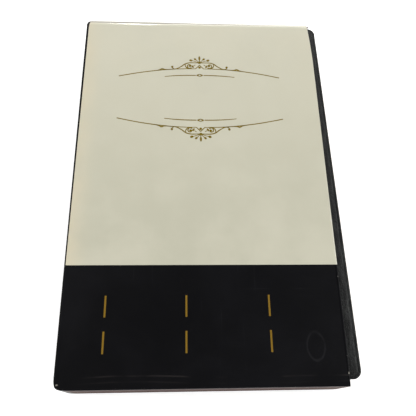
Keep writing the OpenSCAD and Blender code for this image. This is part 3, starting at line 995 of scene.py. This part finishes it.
coverVinyl = makeCoverVinyl()
innerVinyl = makeInnerVinyl()
giltEdge = makeGilt()
pagePaper = makePagePaper()
coverCard = makePaper("coverCard", (0.42, 0.34, 0.24), (0.26, 0.20, 0.13), 0.92, 600, 0.05)
endSheet = makePaper("endSheet", (0.74, 0.71, 0.62), (0.66, 0.62, 0.52), 0.8, 1400, 0.015)
kraftLiner = makePaper("kraftLiner", (0.62, 0.52, 0.36), (0.45, 0.36, 0.22), 0.88, 900, 0.03)
gauze = makeWoven("gauze", (0.74, 0.70, 0.60), (0.40, 0.37, 0.30), 5200, 0, 0.9, 0.08)
hotGlue = makePaper("bindingGlue", (0.68, 0.60, 0.40), (0.56, 0.47, 0.28), 0.35, 500, 0.02)
threadCotton = makeWoven("threadCotton", (0.80, 0.78, 0.72), (0.62, 0.60, 0.53), 9000, 30, 0.8, 0.05)
ribbonSatin = makeWoven("ribbonSatin", (0.24, 0.012, 0.02), (0.33, 0.02, 0.03), 7000, -18, 0.32, 0.02)
labelPaper = makePaper("labelPaper", (0.016, 0.016, 0.017), (0.03, 0.03, 0.03), 0.5, 1500, 0.01)
print("bible materials ready")


# ---------- cover

coverShape = {
    "vinyl": 0.42 * mm,
    "liner": 0.28 * mm,
    "rimTop": 0.42 * mm,                # how far the welded rim lies under the cover's top
    "hingeDip": 0.28 * mm,
    "spineFillet": 2.2 * mm,
}


# distances from a cover's edge at which its sheets have a line of points, in millimetres
rimStops = [0, 0.12, 0.35, 0.7, 1.05, 1.25, 1.42, 1.6, 1.95, 2.4, 3.0,
            3.8, 4.6, 6, 8.5, 12, 17]


def rimDrop(distance):
    # How far the outer vinyl lies below the padded field, this far in from its edge
    stops = ((0.0, 0.62), (0.12, 0.50), (0.35, 0.42), (1.05, 0.42), (1.25, 0.53), (1.42, 0.56), (1.6, 0.50),
             (1.95, 0.24), (2.4, 0.08), (3.0, 0.02), (3.8, 0.0))
    d = distance / mm
    for (d0, z0), (d1, z1) in zip(stops, stops[1:]):
        if d <= d1:
            t = max(0.0, (d - d0) / (d1 - d0))
            t = t * t * (3 - 2 * t)
            return (z0 + (z1 - z0) * t) * mm
    return 0.0


def edgeDistance(x, y, width, height, radius, hingeRim=False):
    # How far a point on a cover lies inside its outline
    fromFore, fromTail, fromHead = width - x, y, height - y
    nearEnd = min(fromTail, fromHead)
    if fromFore < radius and nearEnd < radius:
        return radius - math.hypot(radius - fromFore, radius - nearEnd)
    inside = min(fromFore, nearEnd)
    return min(inside, x - bible["hinge"]) if hingeRim else inside


def edgeStops(total, reach=26 * mm):
    ends = [value * mm for value in rimStops]
    count = 24
    middle = [reach + (total - 2 * reach) * k / count for k in range(count + 1)]
    return ends + middle + [total - value for value in reversed(ends)]


def coverRun():
    # The cover's outer line seen from the tail: (x, z, edge distance), from the front round to the back
    half, width = bible["thick"] / 2, bible["width"]
    spineRadius = (half ** 2 + bible["hinge"] ** 2) / (2 * bible["hinge"])
    flat = [width - value * mm for value in rimStops]
    flat += [width - 26 * mm - (width - 26 * mm - 16 * mm) * k / 14 for k in range(15)]
    flat += [14 * mm, 12.4 * mm, 11.6 * mm, 11.0 * mm, 10.4 * mm, 9.6 * mm, 8.4 * mm, 7.2 * mm]
    run = []
    for x in flat:
        groove = math.exp(-((x - 11.0 * mm) / (0.7 * mm)) ** 2) * coverShape["hingeDip"]
        run.append((x, half - groove, width - x))
    spread = math.asin(half / spineRadius)
    corner = Vector((bible["hinge"], half))
    fillet = coverShape["spineFillet"]
    start = Vector((bible["hinge"] + fillet * 0.9, half))
    cut = spread - fillet * 0.9 / spineRadius
    end = Vector((spineRadius - spineRadius * math.cos(cut), spineRadius * math.sin(cut)))
    for k in range(7):                  # the rounded shoulder
        t = k / 6
        p = start * (1 - t) ** 2 + corner * 2 * t * (1 - t) + end * t * t
        run.append((p.x, p.y, width))
    for k in range(1, 13):
        a = cut * (1 - k / 12)
        run.append((spineRadius - spineRadius * math.cos(a), spineRadius * math.sin(a), width))
    return run + [(x, -z, d) for x, z, d in reversed(run[:-1])]


def makeCoverSkin():
    run, rows = coverRun(), edgeStops(bible["height"])
    radius, height, width = bible["cornerRadius"], bible["height"], bible["width"]
    half = bible["thick"] / 2
    points, faces, index = [], [], {}
    for i, (x, z, fromFore) in enumerate(run):
        trim = cornerTrim(fromFore, radius) if fromFore < radius else 0.0
        fade = 12 * mm
        for j, y in enumerate(rows):
            v = y + trim * max(0.0, 1 - y / fade) - trim * max(0.0, 1 - (height - y) / fade)
            onSpine = x < bible["hinge"] + coverShape["spineFillet"]
            distance = min(v, height - v) if onSpine else edgeDistance(x, v, width, height, radius)
            drop = rimDrop(max(0.0, distance))
            if onSpine:                 # the spine's ends are turned in, with no welded rim
                drop *= 0.35
                center = (half ** 2 + bible["hinge"] ** 2) / (2 * bible["hinge"])
                inward = Vector((center - x, -z)).normalized() * drop
                px, pz = x + inward.x, z + inward.y
            else:
                px, pz = x, z - math.copysign(drop, z)
            index[i, j] = len(points)
            points.append(toCase @ Vector((px, v, pz)))
    for i in range(len(run) - 1):
        for j in range(len(rows) - 1):
            faces.append((index[i, j], index[i + 1, j], index[i + 1, j + 1], index[i, j + 1]))
    piece = newPiece("cover_skin", points, faces, "bible", [coverVinyl])
    thick = piece.modifiers.new("sheet", "SOLIDIFY")
    thick.thickness = coverShape["vinyl"]
    thick.offset = 1 if facesInward(piece.data) else -1
    applyModifiers(piece)
    sharpEdges(piece.data, 60)
    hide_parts("cover_front_vinyl", "cover_back_vinyl", "spine_vinyl")
    return piece


def facesInward(mesh):
    # True if an open sheet's faces look towards the bible's middle
    score = 0.0
    for face in mesh.polygons:
        place = toBible @ face.center
        normal = toBible.to_3x3() @ face.normal
        away = Vector((place.x - bible["width"] / 3, 0, place.z * 4))
        score += normal.dot(away) * face.area
    return score < 0


def makeInnerSheet(name, side, node):
    # The inner vinyl: flat under the cover, lifted at its rim to meet the outer vinyl
    width, height, radius = bible["width"], bible["height"], bible["cornerRadius"]
    rows = edgeStops(height)
    start = bible["hinge"] + 2.6 * mm
    columns = [width - 0.04 * mm - value * mm for value in rimStops]
    columns += [width - 26 * mm - (width - 26 * mm - start) * k / 14 for k in range(15)]
    points, faces, index = [], [], {}
    top = bible["thick"] / 2 - coverShape["rimTop"] - coverShape["vinyl"]
    for i, x in enumerate(columns):
        trim = cornerTrim(width - x, radius) if width - x < radius else 0.0
        fade = 12 * mm
        for j, y in enumerate(rows):
            v = y + trim * max(0.0, 1 - y / fade) - trim * max(0.0, 1 - (height - y) / fade)
            v = min(max(v, 0.04 * mm), height - 0.04 * mm)
            distance = max(0.0, edgeDistance(x, v, width, height, radius))
            share = rimDrop(distance) / (0.56 * mm)
            rise = (top - coverShape["liner"] - insideHalf) * min(1.0, share * 1.3)
            index[i, j] = len(points)
            points.append(toCase @ Vector((x, v, side * (insideHalf + rise))))
    for i in range(len(columns) - 1):
        for j in range(len(rows) - 1):
            face = (index[i, j], index[i + 1, j], index[i + 1, j + 1], index[i, j + 1])
            faces.append(face)
    piece = newPiece(name, points, faces, "bible", [innerVinyl])
    facesUp = sum(face.normal.z * face.area for face in piece.data.polygons) > 0
    thick = piece.modifiers.new("sheet", "SOLIDIFY")
    thick.thickness = coverShape["liner"]
    thick.offset = 1 if facesUp == (side > 0) else -1
    applyModifiers(piece)
    sharpEdges(piece.data, 60)
    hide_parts(node)


makeCoverSkin()
makeInnerSheet("inner_sheet_front", 1, "cover_front_liner")
makeInnerSheet("inner_sheet_back", -1, "cover_back_liner")
for part in ("cover_front_card", "cover_back_card"):
    softCopy(part + "_eased", part, "bible", coverCard, 0.2 * mm,
             (0.6 * mm, 0.6 * mm, 0.1 * mm))
print("cover ready")


# ---------- pages

pageShape = {
    "backRadius": 23.1 * mm,
    "foreRadius": 26.0 * mm,
    "cornerRadius": 6.0 * mm,
    "endSquare": 3.25 * mm,
    "foreSquare": 4.7 * mm,
    "thumbRadius": 6.2 * mm,
    "thumbMargin": 16.0 * mm,
    "packs": 7,                         # leaf packs that show in one group of sections
    "spread": 0.05 * mm,                # how unevenly the packs lie
    "groove": 0.055 * mm,
    "seed": 5,
}
sectionNames = sorted(name for name in nodes if name.startswith("pages_"))
pageLow, pageHigh = pageShape["endSquare"], bible["height"] - pageShape["endSquare"]
foreEdge = bible["width"] - pageShape["foreSquare"]
spineCenter = ((bible["thick"] / 2) ** 2 + bible["hinge"] ** 2) / (2 * bible["hinge"])


def backLine(z):
    return spineCenter - math.sqrt(pageShape["backRadius"] ** 2 - z * z)


def foreLine(z):
    reach = math.sqrt(pageShape["foreRadius"] ** 2 - blockHalf ** 2)
    return foreEdge + reach - math.sqrt(pageShape["foreRadius"] ** 2 - z * z)


def thumbPlace(number):
    pitch = (pageHigh - pageLow - 2 * pageShape["thumbMargin"]) / (len(sectionNames) - 1)
    return pageLow + pageShape["thumbMargin"] + number * pitch


def roundCorner(x, y, radius, startDegrees, first):
    # A quarter turn in ten-degree steps, none of it in a thumb cut
    turns = [math.radians(startDegrees + 10 * k) for k in range(first, 10)]
    return [(x + radius * math.cos(a), y + radius * math.sin(a), False) for a in turns]


def pageOutline(z, inset, number):
    # (x, y, cut) round the pages, anticlockwise from the tail of the back
    left, right = backLine(z) + inset, foreLine(z) - inset
    low, high = pageLow + inset, pageHigh - inset
    radius = pageShape["cornerRadius"] - inset
    outline = [(left + (right - radius - left) * k / 24, low, False) for k in range(25)]
    outline += roundCorner(right - radius, low + radius, radius, -90, 1)
    foreStart, foreEnd = low + radius, high - radius
    cuts = []
    if number > 0:
        center = thumbPlace(number)
        reach = foreEdge - right
        halfCut = math.sqrt(pageShape["thumbRadius"] ** 2 - reach ** 2)
        cuts = [center - halfCut, center + halfCut]
    stops = [foreStart + (foreEnd - foreStart) * k / 34 for k in range(1, 34)]
    if cuts:
        before = [y for y in stops if y < cuts[0] - 1 * mm]
        after = [y for y in stops if y > cuts[1] + 1 * mm]
        outline += [(right, y, False) for y in before]
        first = math.atan2(cuts[0] - center, right - foreEdge)
        sweep = -2 * (math.pi + first)
        steps = 16
        for k in range(steps + 1):
            a = first + sweep * k / steps
            outline.append((foreEdge + pageShape["thumbRadius"] * math.cos(a),
                            center + pageShape["thumbRadius"] * math.sin(a), True))
        outline += [(right, y, False) for y in after]
    else:
        outline += [(right, y, False) for y in stops]
    outline += roundCorner(right - radius, high - radius, radius, 0, 0)
    outline += [(left + (right - radius - left) * k / 24, high, False) for k in range(23, -1, -1)]
    return outline


def makeSection(number, name):
    low, high = (corner.z - bibleOrigin.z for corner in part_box(name))
    chance = random.Random(pageShape["seed"] + number)
    packs = pageShape["packs"]
    step = (high - low) / packs
    levels = []
    for pack in range(packs):
        inset = chance.random() * pageShape["spread"]
        bottom = low + pack * step
        if pack:
            levels.append((bottom, inset + pageShape["groove"]))
        levels.append((bottom + step * (0.10 if pack else 0.0), inset))
        levels.append((bottom + step * (0.90 if pack < packs - 1 else 1.0), inset))
    points, faces, slots, rings = [], [], [], []
    for z, inset in levels:
        ring = []
        outline = pageOutline(z, inset, number)
        for x, y, cut in outline:
            ring.append(len(points))
            points.append(toCase @ Vector((x, y, z)))
        rings.append(ring)
        cuts = [item[2] for item in outline]
    count = len(rings[0])
    for lower, upper in zip(rings, rings[1:]):
        for k in range(count):
            n = (k + 1) % count
            faces.append((lower[k], lower[n], upper[n], upper[k]))
            slots.append(1 if cuts[k] and cuts[n] else 0)
    faces.append(tuple(reversed(rings[0])))
    faces.append(tuple(rings[-1]))
    slots += [1, 1]
    piece = newPiece(name + "_leaves", points, faces, "bible", [giltEdge, pagePaper], slots)
    sharpEdges(piece.data, 40)
    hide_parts(name)


for number, name in enumerate(sectionNames):
    makeSection(number, name)
for part in ("endpaper_front", "endpaper_back"):
    softCopy(part + "_sheet", part, "bible", endSheet, 0.0, (0.15 * mm, 0.15 * mm, 0.0))
print("pages ready")


# ---------- head and tail bands, sewn over a cord

bandShape = {
    "coreRadius": 0.62 * mm,
    "threadRadius": 0.17 * mm,
    "stitchCount": 58,
    "spread": 29.0,                     # degrees each way from the middle of the spine
    "seed": 3,
}


def bandTree(material, coreMaterial):
    # Stitches set along a curved core: inputs are the sizes
    tree = bpy.data.node_groups.new("bandStitches", "GeometryNodeTree")
    face = tree.interface
    for label, kind in (("Geometry", "NodeSocketGeometry"), ("Core Radius", "NodeSocketFloat"),
                        ("Thread Radius", "NodeSocketFloat"), ("Stitches", "NodeSocketInt"),
                        ("Seed", "NodeSocketInt")):
        face.new_socket(name=label, in_out="INPUT", socket_type=kind)
    face.new_socket(name="Geometry", in_out="OUTPUT", socket_type="NodeSocketGeometry")
    make = tree.nodes.new
    link = tree.links.new
    given, out = make("NodeGroupInput"), make("NodeGroupOutput")
    path = make("GeometryNodeMeshToCurve")
    link(given.outputs["Geometry"], path.inputs[0])
    spaced = make("GeometryNodeResampleCurve")
    link(path.outputs[0], spaced.inputs["Curve"])
    link(given.outputs["Stitches"], spaced.inputs["Count"])
    loop = make("GeometryNodeCurvePrimitiveCircle")
    loop.inputs["Resolution"].default_value = 14
    link(given.outputs["Core Radius"], loop.inputs["Radius"])
    thread = make("GeometryNodeCurvePrimitiveCircle")
    thread.inputs["Resolution"].default_value = 6
    link(given.outputs["Thread Radius"], thread.inputs["Radius"])
    stitch = make("GeometryNodeCurveToMesh")
    link(loop.outputs[0], stitch.inputs["Curve"])
    link(thread.outputs[0], stitch.inputs["Profile Curve"])
    points = make("GeometryNodeCurveToPoints")
    points.mode = "COUNT"
    link(path.outputs[0], points.inputs["Curve"])
    link(given.outputs["Stitches"], points.inputs["Count"])
    jitter = make("FunctionNodeRandomValue")
    jitter.data_type = "FLOAT_VECTOR"
    jitter.inputs[0].default_value = (-0.10, -0.10, -0.10)
    jitter.inputs[1].default_value = (0.10, 0.10, 0.10)
    link(given.outputs["Seed"], jitter.inputs["Seed"])
    turned = make("FunctionNodeRotateEuler")
    link(points.outputs["Rotation"], turned.inputs[0])
    link(jitter.outputs[0], turned.inputs[1])
    placed = make("GeometryNodeInstanceOnPoints")
    link(points.outputs["Points"], placed.inputs["Points"])
    link(stitch.outputs[0], placed.inputs["Instance"])
    link(turned.outputs[0], placed.inputs["Rotation"])
    solid = make("GeometryNodeRealizeInstances")
    link(placed.outputs[0], solid.inputs[0])
    paint = make("GeometryNodeSetMaterial")
    paint.inputs["Material"].default_value = material
    link(solid.outputs[0], paint.inputs["Geometry"])
    core = make("GeometryNodeCurveToMesh")
    core.inputs["Fill Caps"].default_value = True
    link(spaced.outputs[0], core.inputs["Curve"])
    link(loop.outputs[0], core.inputs["Profile Curve"])
    corePaint = make("GeometryNodeSetMaterial")
    corePaint.inputs["Material"].default_value = coreMaterial
    link(core.outputs[0], corePaint.inputs["Geometry"])
    joined = make("GeometryNodeJoinGeometry")
    link(paint.outputs[0], joined.inputs[0])
    link(corePaint.outputs[0], joined.inputs[0])
    link(joined.outputs[0], out.inputs[0])
    return tree


def setInput(modifier, tree, label, value):
    item = next(i for i in tree.interface.items_tree if i.name == label and i.in_out == "INPUT")
    modifier[item.identifier] = value


bandGold = makeWoven("bandGold", (0.55, 0.36, 0.09), (0.34, 0.21, 0.05), 9000, 0, 0.45, 0.03)
bandBlack = makeWoven("bandBlack", (0.02, 0.02, 0.022), (0.05, 0.05, 0.05), 9000, 0, 0.6, 0.03)


def makeBand(name, node, y):
    radius = pageShape["backRadius"] - bandShape["coreRadius"] - bandShape["threadRadius"]
    spread = math.radians(bandShape["spread"])
    steps = 40
    points = []
    for k in range(steps + 1):
        a = -spread + 2 * spread * k / steps
        points.append(toCase @ Vector((spineCenter - radius * math.cos(a), y, radius * math.sin(a))))
    mesh = bpy.data.meshes.new(name)
    mesh.from_pydata([tuple(p) for p in points], [(k, k + 1) for k in range(steps)], [])
    piece = bpy.data.objects.new(name, mesh)
    scene.collection.objects.link(piece)
    tree = bandTree(bandGold, bandBlack)
    sewn = piece.modifiers.new("sewn", "NODES")
    sewn.node_group = tree
    setInput(sewn, tree, "Core Radius", bandShape["coreRadius"])
    setInput(sewn, tree, "Thread Radius", bandShape["threadRadius"])
    setInput(sewn, tree, "Stitches", bandShape["stitchCount"])
    setInput(sewn, tree, "Seed", bandShape["seed"])
    applyModifiers(piece)
    piece.data.shade_smooth()
    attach(piece, "bible")
    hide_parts(node)


bandRise = 0.15 * mm
makeBand("head_band_sewn", "head_band", pageHigh + bandRise)
makeBand("tail_band_sewn", "tail_band", pageLow - bandRise)


# ---------- ribbon, labels and the hidden spine parts

dress(ribbonSatin, "ribbon_marker")
dress(labelPaper, "thumb_labels")
dress(coverCard, "spine_strip")
dress(kraftLiner, "spine_liner")
dress(gauze, "spine_mull")
dress(hotGlue, "spine_glue")
dress(threadCotton, "sewing_threads")
print("bible ready")
